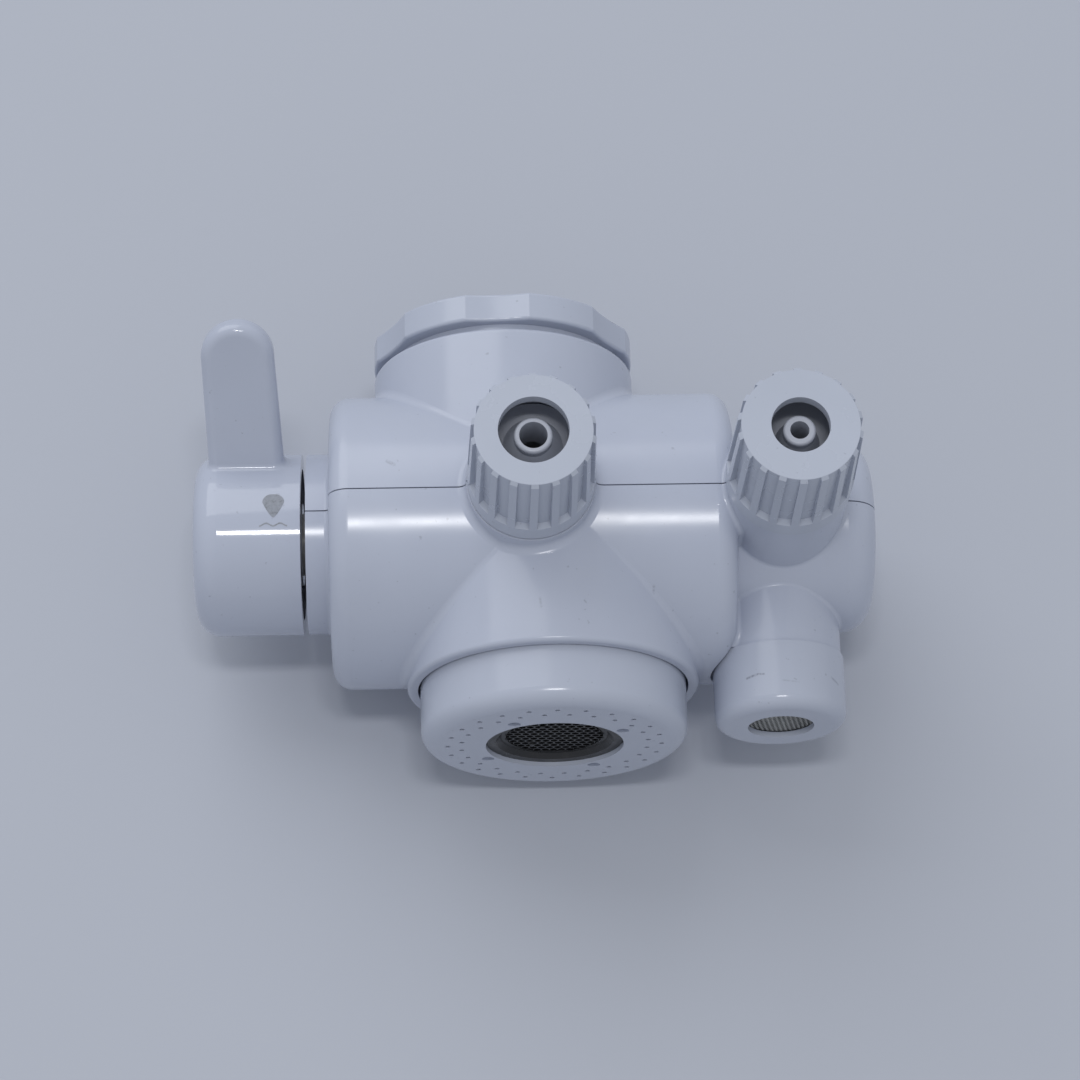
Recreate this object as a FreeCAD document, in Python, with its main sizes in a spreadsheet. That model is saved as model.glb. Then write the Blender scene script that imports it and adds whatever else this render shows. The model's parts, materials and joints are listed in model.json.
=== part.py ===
import FreeCAD, Part
import math
import os
import Sketcher

# A three-way diverter valve that hangs under a kitchen tap.
# X runs along the drum from the lever on the left to the filtered water spout on the right,
# Y points away from the user and Z points up to the tap.
# The sub-parts are drawn with the drum's axis at Z = 0 and the inlet's axis at X = 0, then lowered
# together so that the origin lies at the mouth of the tap thread.

# Driving dimensions in millimetres and degrees. Places along X count from the inlet's axis,
# heights and depths count from the drum's axis.
DIMENSIONS = {
    "inlet_height": 33.7,
    "shell_wall": 2.2,
    "seam_gap": 0.2,
    "running_gap": 0.08,
    "seat_gap": 0.1,
    "thread_gap": 0.3,
    "drum_radius": 23.5,
    "drum_left": 28.15,
    "drum_right": 35.75,
    "drum_edge": 3.2,
    "neck_radius": 14.5,
    "neck_left": 31.95,
    "hub_radius": 15.5,
    "hub_right": 58.45,
    "hub_edge": 4.8,
    "corner_blend": 0.8,
    "collar_radius": 21.1,
    "collar_top": 28.3,
    "collar_wall": 2.0,
    "collar_blend": 1.6,
    "spray_offset": 6.89,
    "skirt_radius": 23.2,
    "skirt_bottom": 25.4,
    "skirt_blend": 1.3,
    "skirt_edge": 0.7,
    "boss_1_place": 3.45,
    "boss_1_radius": 10.1,
    "boss_2_place": 43.47,
    "boss_2_radius": 9.7,
    "boss_front": 25.9,
    "boss_wall": 1.6,
    "boss_blend": 0.6,
    "spout_place": 42.85,
    "spout_neck_radius": 10.1,
    "spout_neck_end": 21.2,
    "spout_cap_radius": 10.45,
    "spout_cap_gap": 0.1,
    "spout_face": 32.2,
    "spout_edge": 2.0,
    "spout_mouth": 5.25,
    "spout_mesh_depth": 0.9,
    "cap_radius": 21.1,
    "cap_gap": 0.4,
    "cap_top": 18.0,
    "cap_face": 34.63,
    "cap_edge": 2.6,
    "cap_wall": 1.8,
    "cap_mouth": 10.9,
    "spray_hole": 0.4,
    "outer_ring": 16.9,
    "inner_ring": 14.8,
    "ring_count": 24,
    "dimple_radius": 1.0,
    "dimple_ring": 12.35,
    "dimple_depth": 0.6,
    "dimple_turn": 58,
    "aerator_recess": 0.7,
    "aerator_height": 7.0,
    "aerator_bore": 8.5,
    "grille_recess": 1.5,
    "grille_thick": 1.0,
    "cell_pitch": 2.0,
    "cell_wall": 0.4,
    "lock_radius": 21.1,
    "lock_bottom": 30.0,
    "lock_top": 34.7,
    "lock_edge": 0.5,
    "lock_lip": 1.6,
    "scallop_count": 6,
    "scallop_depth": 1.0,
    "scallop_radius": 35.0,
    "scallop_turn": 27,
    "tap_thread_radius": 10.5,
    "adapter_bottom": 26.5,
    "adapter_wall": 2.4,
    "flange_thick": 1.7,
    "gasket_thick": 1.2,
    "inlet_spigot_radius": 17.0,
    "inlet_spigot_top": 30.0,
    "inlet_bore": 13.9,
    "strainer_seat": 17.5,
    "strainer_thick": 0.8,
    "barrel_radius": 12.6,
    "barrel_left": 24.0,
    "barrel_right": 31.2,
    "rotor_radius": 9.9,
    "rotor_left": 16.0,
    "rotor_right": 25.0,
    "rotor_port": 5.0,
    "stem_radius": 5.0,
    "stem_left": 45.0,
    "stem_square": 7.0,
    "square_length": 7.5,
    "gland_flange": 12.0,
    "gland_flange_thick": 3.0,
    "o_ring_cord": 0.9,
    "spray_spigot_radius": 17.6,
    "spray_spigot_end": 31.4,
    "spray_spigot_wall": 2.4,
    "spray_gasket_thick": 1.0,
    "port_wall": 2.0,
    "hose_spigot_radius": 7.8,
    "hose_spigot_front": 36.0,
    "hose_channel": 3.0,
    "nut_1_front": 45.6,
    "nut_2_front": 46.1,
    "nut_top_radius": 9.45,
    "nut_base_radius": 9.9,
    "nut_face_radius": 8.93,
    "nut_chamfer": 0.5,
    "nut_back": 26.2,
    "nut_lip": 1.9,
    "nut_1_bore": 5.38,
    "nut_2_bore": 4.46,
    "flute_count": 18,
    "flute_width": 12.8,
    "flute_floor": 8.98,
    "flute_end": 29.6,
    "flute_run_out": 0.7,
    "nipple_1_tip": 2.95,
    "nipple_1_base": 4.55,
    "nipple_1_hole": 2.15,
    "nipple_2_tip": 2.5,
    "nipple_2_base": 3.45,
    "nipple_2_hole": 1.45,
    "nipple_flange": 1.5,
    "nipple_drop": 2.1,
    "return_radius": 9.6,
    "return_left": 34.2,
    "return_right": 54.6,
    "return_spigot_radius": 8.2,
    "return_spigot_end": 29.4,
    "lever_left": 49.85,
    "lever_right": 32.75,
    "lever_radius": 14.6,
    "lever_edge": 4.0,
    "lever_wall": 2.4,
    "lever_core": 6.6,
    "lever_angle": 46,
    "tongue_place": 41.21,
    "tongue_root": 12.1,
    "tongue_tip": 11.5,
    "tongue_reach": 38.7,
    "tongue_lean": 0.95,
    "tongue_thick": 4.6,
    "tongue_edge": 1.7,
    "tongue_blend": 1.0,
    "screw_head": 3.5,
    "screw_head_thick": 1.8,
    "screw_shank": 1.5,
    "screw_length": 9.0,
    "plug_radius": 5.5,
    "plug_thick": 1.2,
}

doc = FreeCAD.newDocument("faucet_diverter_valve")
sheet = doc.addObject("Spreadsheet::Sheet", "dim")
for row, (name, number) in enumerate(DIMENSIONS.items(), start=1):
    sheet.set("A%d" % row, name.replace("_", " "))
    sheet.set("B%d" % row, str(number))
    sheet.setAlias("B%d" % row, name)
doc.recompute()


class Size:
    """A size from the sheet, or a sum or share of such sizes: its value and its expression."""

    def __init__(self, value, text):
        self.value = value
        self.text = text

    def __add__(self, other):
        other = as_size(other)
        return Size(self.value + other.value, "(%s + %s)" % (self.text, other.text))

    def __sub__(self, other):
        other = as_size(other)
        return Size(self.value - other.value, "(%s - %s)" % (self.text, other.text))

    def __mul__(self, other):
        other = as_size(other)
        return Size(self.value * other.value, "(%s * %s)" % (self.text, other.text))

    def __truediv__(self, other):
        other = as_size(other)
        return Size(self.value / other.value, "(%s / %s)" % (self.text, other.text))

    def __neg__(self):
        return Size(-self.value, "(0 - %s)" % self.text)

    def __float__(self):
        return float(self.value)


class Sheet:
    """The sheet's cells by name, as sizes."""

    def __getattr__(self, name):
        return Size(float(sheet.get(name)), "dim." + name)


def as_size(item):
    return item if isinstance(item, Size) else Size(float(item), "%.6g" % item)


def value_of(item):
    return float(item)


def bind(thing, prop, item):
    """Set a property, and keep it tied to the sheet when its value comes from there."""
    if isinstance(item, Size):
        thing.setExpression(prop, item.text)
    else:
        setattr(thing, prop, item)


d = Sheet()
FULL_TURN = 360
OUT_OF_REACH = 200.0


# Sketches and features

def new_body(name):
    body = doc.addObject("PartDesign::Body", name)
    body.Label = name
    return body


def origin_feature(body, role):
    return next(item for item in body.Origin.OriginFeatures if item.Role == role)


def new_sketch(body, plane):
    sketch = body.newObject("Sketcher::SketchObject", body.Label + "_outline")
    sketch.AttachmentSupport = [(origin_feature(body, plane), "")]
    sketch.MapMode = "FlatFace"
    return sketch


def tie_distance(sketch, kind, geometry, corner, distance):
    """Fix one point of a sketch by its distance from one of the sketch's axes."""
    if value_of(distance) == 0:
        axis = -2 if kind == "DistanceX" else -1
        sketch.addConstraint(Sketcher.Constraint("PointOnObject", geometry, corner, axis))
        return
    constraint = Sketcher.Constraint(kind, -1, 1, geometry, corner, value_of(distance))
    index = sketch.addConstraint(constraint)
    if isinstance(distance, Size):
        sketch.setExpression("Constraints[%d]" % index, distance.text)


def tie_point(sketch, geometry, corner, across, up):
    tie_distance(sketch, "DistanceX", geometry, corner, across)
    tie_distance(sketch, "DistanceY", geometry, corner, up)


def segment(start, end, arc):
    """The geometry between two points: a line, or an arc about a centre."""
    if arc is None:
        return Part.LineSegment(start, end)
    across, up, turn = arc
    centre = FreeCAD.Vector(value_of(across), value_of(up), 0)
    circle = Part.Circle(centre, FreeCAD.Vector(0, 0, 1), (start - centre).Length)
    angles = [math.atan2(spot.y - centre.y, spot.x - centre.x) for spot in (start, end)]
    if turn < 0:
        angles.reverse()
    if angles[1] <= angles[0]:
        angles[1] += 2 * math.pi
    return Part.ArcOfCircle(circle, *angles)


def outline(body, plane, points, arcs=None):
    """A closed outline through points given by their two distances.

    arcs says which stretches are round: from a point's number to the centre of the arc that
    starts there and its turn, 1 for anticlockwise and -1 for clockwise.
    """
    sketch = new_sketch(body, plane)
    arcs = arcs or {}
    count = len(points)
    vectors = [FreeCAD.Vector(value_of(across), value_of(up), 0) for across, up in points]
    for index in range(count):
        piece = segment(vectors[index], vectors[(index + 1) % count], arcs.get(index))
        sketch.addGeometry(piece, False)
    starts = [2 if index in arcs and arcs[index][2] < 0 else 1 for index in range(count)]
    for index in range(count):
        following = (index + 1) % count
        joint = Sketcher.Constraint("Coincident", index, 3 - starts[index], following, starts[following])
        sketch.addConstraint(joint)
    for index, (across, up) in enumerate(points):
        tie_point(sketch, index, starts[index], across, up)
    for index, (across, up, turn) in arcs.items():
        tie_distance(sketch, "DistanceY", index, 3, up)
    return sketch


def polygon(body, plane, points):
    """A closed outline of straight lines."""
    return outline(body, plane, points)


def circles(body, plane, rounds):
    """A sketch of circles, each given by its centre and radius."""
    sketch = new_sketch(body, plane)
    for index, (across, up, radius) in enumerate(rounds):
        centre = FreeCAD.Vector(value_of(across), value_of(up), 0)
        sketch.addGeometry(Part.Circle(centre, FreeCAD.Vector(0, 0, 1), value_of(radius)), False)
        if value_of(across) == 0 and value_of(up) == 0:
            sketch.addConstraint(Sketcher.Constraint("Coincident", index, 3, -1, 1))
        else:
            tie_point(sketch, index, 3, across, up)
        constraint = Sketcher.Constraint("Radius", index, value_of(radius))
        radius_index = sketch.addConstraint(constraint)
        if isinstance(radius, Size):
            sketch.setExpression("Constraints[%d]" % radius_index, radius.text)
    return sketch


def sketched(body, kind, sketch, **settings):
    """A feature made from a sketch; settings that are sizes stay tied to the sheet."""
    feature = body.newObject("PartDesign::" + kind, body.Label + "_" + kind.lower())
    feature.Profile = sketch
    for prop, item in settings.items():
        bind(feature, prop, item)
    doc.recompute()
    return feature


def pad(body, sketch, length, **settings):
    return sketched(body, "Pad", sketch, Length=length, **settings)


def pocket(body, sketch, length, **settings):
    return sketched(body, "Pocket", sketch, Length=length, **settings)


def revolve(body, sketch, axis):
    return sketched(body, "Revolution", sketch, ReferenceAxis=(sketch, [axis]), Angle=FULL_TURN)


def groove(body, sketch, axis, angle=FULL_TURN, **settings):
    return sketched(body, "Groove", sketch, ReferenceAxis=(sketch, [axis]), Angle=angle, **settings)


def repeat_round(body, features, count, role="Z_Axis"):
    """Repeat features evenly round one of the body's own axes."""
    pattern = body.newObject("PartDesign::PolarPattern", body.Label + "_pattern")
    pattern.Originals = features
    pattern.Axis = (origin_feature(body, role), [""])
    pattern.Angle = FULL_TURN
    bind(pattern, "Occurrences", count)
    body.Tip = pattern
    doc.recompute()
    return pattern


def edges_where(feature, chosen):
    edges = enumerate(feature.Shape.Edges, start=1)
    return ["Edge%d" % number for number, edge in edges if chosen(edge)]


def round_edges(body, radius, chosen, kind="Fillet"):
    """Round the edges of the body's last feature that the test picks out."""
    base = body.Tip
    names = edges_where(base, chosen)
    if not names:
        raise ValueError("no edge to round on " + body.Label)
    feature = body.newObject("PartDesign::" + kind, body.Label + "_" + kind.lower())
    feature.Base = (base, names)
    bind(feature, "Radius" if kind == "Fillet" else "Size", radius)
    doc.recompute()
    return feature


# Tests that pick edges by their place

def near(first, second, slack=0.03):
    return abs(value_of(first) - value_of(second)) < slack


def full_circle(radius, axis, place):
    """A test for a whole circle of one radius in the plane at one place along an axis."""
    def test(edge):
        box = edge.BoundBox
        spans = {"x": box.XLength, "y": box.YLength, "z": box.ZLength}
        flat = spans.pop(axis)
        round_spans = all(near(span, as_size(radius) * 2) for span in spans.values())
        return edge.Closed and near(flat, 0) and round_spans and near(getattr(box.Center, axis), place)
    return test


def any_of(*tests):
    return lambda edge: any(test(edge) for test in tests)


def place(item, across=0, back=0, up=0, turn=None):
    """Put a finished sub-part in its place, lowered with the rest by the inlet's height."""
    if turn is not None:
        axis, angle = turn
        item.Placement = FreeCAD.Placement(FreeCAD.Vector(), FreeCAD.Rotation(axis, value_of(angle)))
        if isinstance(angle, Size):
            item.setExpression("Placement.Rotation.Angle", angle.text)
    bind_base(item, "x", across)
    bind_base(item, "y", back)
    bind_base(item, "z", as_size(up) - d.inlet_height)
    return item


def bind_base(item, axis, distance):
    if isinstance(distance, Size):
        item.setExpression("Placement.Base." + axis, distance.text)


X_AXIS = FreeCAD.Vector(1, 0, 0)
TO_FRONT = (X_AXIS, 90)
TO_FLOOR = (X_AXIS, 180)


# Housing

def housing_outline():
    """Half section of the drum with its neck and its hub, along X."""
    return [
        (-d.neck_left, 0),
        (-d.neck_left, d.neck_radius),
        (-d.drum_left, d.neck_radius),
        (-d.drum_left, d.drum_radius),
        (d.drum_right, d.drum_radius),
        (d.drum_right, d.hub_radius),
        (d.hub_right, d.hub_radius),
        (d.hub_right, 0),
    ]


def housing_form(name):
    """The drum, neck and hub, with their rounded ends."""
    body = new_body(name)
    revolve(body, polygon(body, "XZ_Plane", housing_outline()), "H_Axis")
    rims = any_of(
        full_circle(d.drum_radius, "x", -d.drum_left),
        full_circle(d.drum_radius, "x", d.drum_right),
    )
    round_edges(body, d.drum_edge, rims)
    round_edges(body, d.hub_edge, full_circle(d.hub_radius, "x", d.hub_right))
    roots = any_of(
        full_circle(d.neck_radius, "x", -d.drum_left),
        full_circle(d.hub_radius, "x", d.drum_right),
    )
    round_edges(body, d.corner_blend, roots)
    return body


def on_cylinder(edge, radius, across, back=0.0, slack=0.05):
    """Whether an edge lies on an upright cylinder."""
    start, end = edge.ParameterRange
    samples = [edge.valueAt(start + (end - start) * share) for share in (0.1, 0.35, 0.6, 0.85)]
    for spot in samples:
        if abs(math.hypot(spot.x - across, spot.y - back) - radius) > slack:
            return False
    return True


def on_front_cylinder(edge, radius, across, slack=0.05):
    """Whether an edge lies on a cylinder that points to the front."""
    start, end = edge.ParameterRange
    samples = [edge.valueAt(start + (end - start) * share) for share in (0.1, 0.35, 0.6, 0.85)]
    return all(abs(math.hypot(spot.x - across, spot.z) - radius) < slack for spot in samples)


def add_bosses(body):
    """The round bosses that carry the two hose connectors, towards the front."""
    pad(body, circles(body, "XZ_Plane", [(d.boss_1_place, 0, d.boss_1_radius)]), d.boss_front)
    pad(body, circles(body, "XZ_Plane", [(d.boss_2_place, 0, d.boss_2_radius)]), d.boss_front)


def boss_root(centre, radius):
    """A test for the edges where a boss meets what it stands on."""
    across = value_of(centre)
    reach = value_of(d.boss_front) - 0.5

    def test(edge):
        return on_front_cylinder(edge, value_of(radius), across) and -reach < edge.CenterOfMass.y < 0
    return test


def upright_root(centre, radius, end):
    """A test for the edges where an upright cylinder meets the drum or the hub."""
    across = value_of(centre)
    reach = abs(value_of(end)) - 0.5

    def test(edge):
        return on_cylinder(edge, value_of(radius), across) and abs(edge.CenterOfMass.z) < reach
    return test


def hollow_housing(body):
    """The room for the valve inside the drum, the neck and the hub."""
    room = d.drum_radius - d.shell_wall
    left = -d.drum_left + d.shell_wall
    right = d.drum_right - d.shell_wall * 2
    neck_room = d.neck_radius - d.shell_wall
    hub_room = d.hub_radius - d.shell_wall
    hub_end = d.hub_right - d.shell_wall
    neck_end = -d.neck_left + d.shell_wall
    stem_room = d.stem_radius + d.thread_gap
    outline = [
        (-d.neck_left - 1, 0),
        (-d.neck_left - 1, stem_room),
        (neck_end, stem_room),
        (neck_end, neck_room),
        (left, neck_room),
        (left, room),
        (right, room),
        (right, hub_room),
        (hub_end, hub_room),
        (hub_end, 0),
    ]
    groove(body, polygon(body, "XZ_Plane", outline), "H_Axis")
    bores = [
        (d.boss_1_place, 0, d.boss_1_radius - d.boss_wall),
        (d.boss_2_place, 0, d.boss_2_radius - d.boss_wall),
    ]
    pocket(body, circles(body, "XZ_Plane", bores), d.boss_front + 1, Reversed=True)


def cut_half(body, upper):
    """Take away the half beyond the seam."""
    reach = OUT_OF_REACH / 2
    corners = [(-reach, -reach), (reach, -reach), (reach, reach), (-reach, reach)]
    sketch = polygon(body, "XY_Plane", corners)
    sketch.AttachmentOffset = FreeCAD.Placement(FreeCAD.Vector(), FreeCAD.Rotation())
    side = d.seam_gap / 2 if upper else -d.seam_gap / 2
    sketch.setExpression("AttachmentOffset.Base.z", side.text)
    pocket(body, sketch, OUT_OF_REACH, Reversed=not upper)


def make_upper_shell():
    body = housing_form("upper_shell")
    pad(body, circles(body, "XY_Plane", [(0, 0, d.collar_radius)]), d.collar_top)
    add_bosses(body)
    round_edges(body, d.collar_blend, upright_root(0, d.collar_radius, d.collar_top))
    round_edges(body, d.skirt_blend, boss_root(d.boss_1_place, d.boss_1_radius))
    round_edges(body, d.boss_blend, boss_root(d.boss_2_place, d.boss_2_radius))
    round_edges(body, d.skirt_edge, full_circle(d.collar_radius, "z", d.collar_top))
    hollow_housing(body)
    room = d.collar_radius - d.collar_wall
    pocket(body, circles(body, "XY_Plane", [(0, 0, room)]), d.collar_top + 1, Reversed=True)
    cut_half(body, upper=True)
    return place(body)


def make_lower_shell():
    body = housing_form("lower_shell")
    skirt = circles(body, "XY_Plane", [(d.spray_offset, 0, d.skirt_radius)])
    pad(body, skirt, d.skirt_bottom, Reversed=True)
    neck = circles(body, "XY_Plane", [(d.spout_place, 0, d.spout_neck_radius)])
    pad(body, neck, d.spout_neck_end, Reversed=True)
    add_bosses(body)
    wide_roots = any_of(
        upright_root(d.spray_offset, d.skirt_radius, d.skirt_bottom),
        boss_root(d.boss_1_place, d.boss_1_radius),
    )
    round_edges(body, d.skirt_blend, wide_roots)
    small_roots = any_of(
        upright_root(d.spout_place, d.spout_neck_radius, d.spout_neck_end),
        boss_root(d.boss_2_place, d.boss_2_radius),
    )
    round_edges(body, d.boss_blend, small_roots)
    round_edges(body, d.skirt_edge, full_circle(d.skirt_radius, "z", -d.skirt_bottom))
    hollow_housing(body)
    cap_room = circles(body, "XY_Plane", [(d.spray_offset, 0, d.cap_radius + d.cap_gap)])
    pocket(body, cap_room, d.skirt_bottom + 1)
    spout_room = d.return_spigot_radius + d.seat_gap
    pocket(body, circles(body, "XY_Plane", [(d.spout_place, 0, spout_room)]), d.spout_neck_end + 1)
    relief_radius = d.spout_cap_radius + d.cap_gap
    relief = circles(body, "XY_Plane", [(d.spout_place, 0, relief_radius)])
    relief.setExpression("AttachmentOffset.Base.z", (-d.spout_neck_end).text)
    pocket(body, relief, d.shell_wall * 3)
    cut_half(body, upper=False)
    return place(body)


# Turned pieces. Each is drawn with its axis on Z and then laid in its place.

def turned(name, points):
    """A piece turned from its half section: distances from the axis and along it."""
    body = new_body(name)
    revolve(body, polygon(body, "XZ_Plane", points), "V_Axis")
    return body


def tube_points(inner, outer, low, high):
    return [(inner, low), (outer, low), (outer, high), (inner, high)]


# Valve body

def make_valve_body():
    """The chamber along X with its inlet spigot, spray spigot and hose spigot, one moulding."""
    body = new_body("valve_body")
    rib = d.drum_radius - d.shell_wall - d.seat_gap
    left = -d.barrel_left
    rib_left = -d.drum_left + d.shell_wall + d.seat_gap
    outline = [
        (left, 0),
        (left, d.barrel_radius),
        (rib_left + d.shell_wall * 2, d.barrel_radius),
        (rib_left + d.shell_wall * 2, rib),
        (rib_left + d.shell_wall * 3, rib),
        (rib_left + d.shell_wall * 3, d.barrel_radius),
        (d.barrel_right - d.shell_wall, d.barrel_radius),
        (d.barrel_right - d.shell_wall, rib),
        (d.barrel_right, rib),
        (d.barrel_right, 0),
    ]
    revolve(body, polygon(body, "XZ_Plane", outline), "H_Axis")
    pad(body, circles(body, "XY_Plane", [(0, 0, d.inlet_spigot_radius)]), d.inlet_spigot_top)
    spray = circles(body, "XY_Plane", [(d.spray_offset, 0, d.spray_spigot_radius)])
    pad(body, spray, d.spray_spigot_end, Reversed=True)
    hose = circles(body, "XZ_Plane", [(d.boss_1_place, 0, d.hose_spigot_radius)])
    pad(body, hose, d.hose_spigot_front)
    bore = d.rotor_radius + d.running_gap
    chamber = [(left - 1, 0), (left - 1, bore), (d.rotor_right + d.seat_gap, bore)]
    chamber.append((d.rotor_right + d.seat_gap, 0))
    groove(body, polygon(body, "XZ_Plane", chamber), "H_Axis")
    inlet = circles(body, "XY_Plane", [(0, 0, d.inlet_bore)])
    inlet.setExpression("AttachmentOffset.Base.z", d.strainer_seat.text)
    pocket(body, inlet, d.inlet_spigot_top, Reversed=True)
    pocket(body, circles(body, "XY_Plane", [(0, 0, d.rotor_port)]), d.inlet_spigot_top, Reversed=True)
    pocket(body, circles(body, "XY_Plane", [(0, 0, d.rotor_port)]), d.inlet_spigot_top)
    room = circles(body, "XY_Plane", [(d.spray_offset, 0, d.spray_spigot_radius - d.spray_spigot_wall)])
    room.setExpression("AttachmentOffset.Base.z", (-d.barrel_radius - d.port_wall).text)
    pocket(body, room, d.spray_spigot_end)
    channel = circles(body, "XZ_Plane", [(d.boss_1_place, 0, d.hose_channel)])
    pocket(body, channel, d.hose_spigot_front + 1, Reversed=True)
    return place(body)


def make_rotor():
    """The plug that the lever turns, with its cross port and its stem with a squared end."""
    body = new_body("rotor")
    cord = d.o_ring_cord
    floor = d.rotor_radius - cord * 2
    first = -d.rotor_left + cord * 2
    last = d.rotor_right - cord * 4
    stem_groove = -d.rotor_left - d.gland_flange_thick
    stem_floor = d.stem_radius - cord
    outline = [
        (-d.stem_left, 0),
        (-d.stem_left, d.stem_radius),
        (stem_groove - cord * 2, d.stem_radius),
        (stem_groove - cord * 2, stem_floor),
        (stem_groove, stem_floor),
        (stem_groove, d.stem_radius),
        (-d.rotor_left, d.stem_radius),
        (-d.rotor_left, d.rotor_radius),
        (first, d.rotor_radius),
        (first, floor),
        (first + cord * 2, floor),
        (first + cord * 2, d.rotor_radius),
        (last, d.rotor_radius),
        (last, floor),
        (last + cord * 2, floor),
        (last + cord * 2, d.rotor_radius),
        (d.rotor_right, d.rotor_radius),
        (d.rotor_right, 0),
    ]
    revolve(body, polygon(body, "XZ_Plane", outline), "H_Axis")
    half = d.stem_square / 2
    reach = d.stem_radius + 1
    square_end = -d.stem_left + d.square_length
    for low, high in ((half, reach), (-reach, -half)):
        corners = [(-d.stem_left - 1, low), (square_end, low), (square_end, high), (-d.stem_left - 1, high)]
        pocket(body, polygon(body, "XZ_Plane", corners), reach * 2, SideType="Symmetric")
        pocket(body, polygon(body, "XY_Plane", corners), reach * 2, SideType="Symmetric")
    pocket(body, circles(body, "XY_Plane", [(0, 0, d.rotor_port)]), d.rotor_radius * 3, SideType="Symmetric")
    screw_room = circles(body, "YZ_Plane", [(0, 0, d.screw_shank + d.seat_gap)])
    screw_room.setExpression("AttachmentOffset.Base.z", (-d.stem_left).text)
    pocket(body, screw_room, d.screw_length, Reversed=True)
    return place(body)


def ring_along_x(name, inner, outer, low, high):
    """A plain ring with its axis on the drum's axis."""
    body = new_body(name)
    outline = [(low, inner), (high, inner), (high, outer), (low, outer)]
    revolve(body, polygon(body, "XZ_Plane", outline), "H_Axis")
    return body


def make_rotor_seals():
    cord = d.o_ring_cord
    floor = d.rotor_radius - cord * 2 + d.seat_gap / 2
    rim = d.rotor_radius + d.running_gap / 2
    starts = {
        "rotor_o_ring_left": -d.rotor_left + cord * 2,
        "rotor_o_ring_right": d.rotor_right - cord * 4,
    }
    for name, start in starts.items():
        body = ring_along_x(name, floor, rim, start + d.seat_gap, start + cord * 2 - d.seat_gap)
        place(body)
    start = -d.rotor_left - d.gland_flange_thick - cord * 2
    stem_floor = d.stem_radius - cord + d.seat_gap / 2
    stem_rim = d.stem_radius + d.running_gap / 2
    low = start + d.seat_gap
    place(ring_along_x("stem_o_ring", stem_floor, stem_rim, low, start + cord * 2 - d.seat_gap))


def make_rotor_retainer():
    """The gland screwed into the open end of the chamber."""
    body = new_body("rotor_retainer")
    bore = d.stem_radius + d.running_gap
    flange_left = -d.barrel_left - d.gland_flange_thick
    outline = [
        (flange_left, bore),
        (flange_left, d.gland_flange),
        (-d.barrel_left, d.gland_flange),
        (-d.barrel_left, d.rotor_radius),
        (-d.rotor_left - d.seat_gap, d.rotor_radius),
        (-d.rotor_left - d.seat_gap, bore),
    ]
    revolve(body, polygon(body, "XZ_Plane", outline), "H_Axis")
    return place(body)


# Inlet

def make_tap_adapter():
    """The flanged ring that the tap's thread screws into."""
    flange_low = d.inlet_spigot_top + d.gasket_thick
    flange_high = flange_low + d.flange_thick
    barrel = d.tap_thread_radius + d.adapter_wall
    lip = d.lock_radius - d.lock_lip * 4
    points = [
        (d.tap_thread_radius, d.adapter_bottom),
        (barrel, d.adapter_bottom),
        (barrel, flange_low),
        (lip, flange_low),
        (lip, flange_high),
        (barrel - d.seat_gap * 5, flange_high),
        (barrel - d.seat_gap * 5, d.inlet_height),
        (d.tap_thread_radius, d.inlet_height),
    ]
    return place(turned("tap_adapter", points))


def make_inlet_gasket():
    low = d.inlet_spigot_top
    inner = d.tap_thread_radius + d.adapter_wall + d.seat_gap
    outer = d.lock_radius - d.lock_lip * 4
    return place(turned("inlet_gasket", tube_points(inner, outer, low, low + d.gasket_thick)))


def make_inlet_strainer():
    radius = d.inlet_bore - d.seat_gap
    low = d.strainer_seat
    return place(turned("inlet_strainer", tube_points(0, radius, low, low + d.strainer_thick)))


def make_lock_nut():
    """The scalloped ring that clamps the adapter on the inlet spigot."""
    thread = d.inlet_spigot_radius + d.thread_gap
    flange_high = d.inlet_spigot_top + d.gasket_thick + d.flange_thick
    mouth = d.tap_thread_radius + d.adapter_wall
    sleeve = d.collar_radius - d.collar_wall - d.cap_gap
    sleeve_low = d.collar_top - d.thread_gap * 20
    points = [
        (thread, sleeve_low),
        (sleeve, sleeve_low),
        (sleeve, d.lock_bottom),
        (d.lock_radius, d.lock_bottom),
        (d.lock_radius, d.lock_top),
        (mouth, d.lock_top),
        (mouth, flange_high + d.seat_gap),
        (thread, flange_high + d.seat_gap),
    ]
    body = turned("lock_nut", points)
    away = d.lock_radius - d.scallop_depth + d.scallop_radius
    scallop = circles(body, "XY_Plane", [(away, 0, d.scallop_radius)])
    scallop.setExpression("AttachmentOffset.Base.z", (d.lock_bottom - 1).text)
    depth = d.lock_top - d.lock_bottom + 2
    cut = pocket(body, scallop, depth, Reversed=True)
    repeat_round(body, [cut], int(value_of(d.scallop_count)))
    rims = value_of(d.lock_radius) - value_of(d.scallop_depth) - 0.3
    levels = (value_of(d.lock_bottom), value_of(d.lock_top))

    def outer_rim(edge):
        middle = edge.CenterOfMass
        flat = edge.BoundBox.ZLength < 0.01
        far = min(math.hypot(v.X, v.Y) for v in edge.Vertexes) > rims if edge.Vertexes else False
        return flat and far and any(abs(middle.z - level) < 0.01 for level in levels)

    round_edges(body, d.lock_edge, outer_rim)
    return place(body, turn=(FreeCAD.Vector(0, 0, 1), d.scallop_turn))


# Shower face

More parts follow.
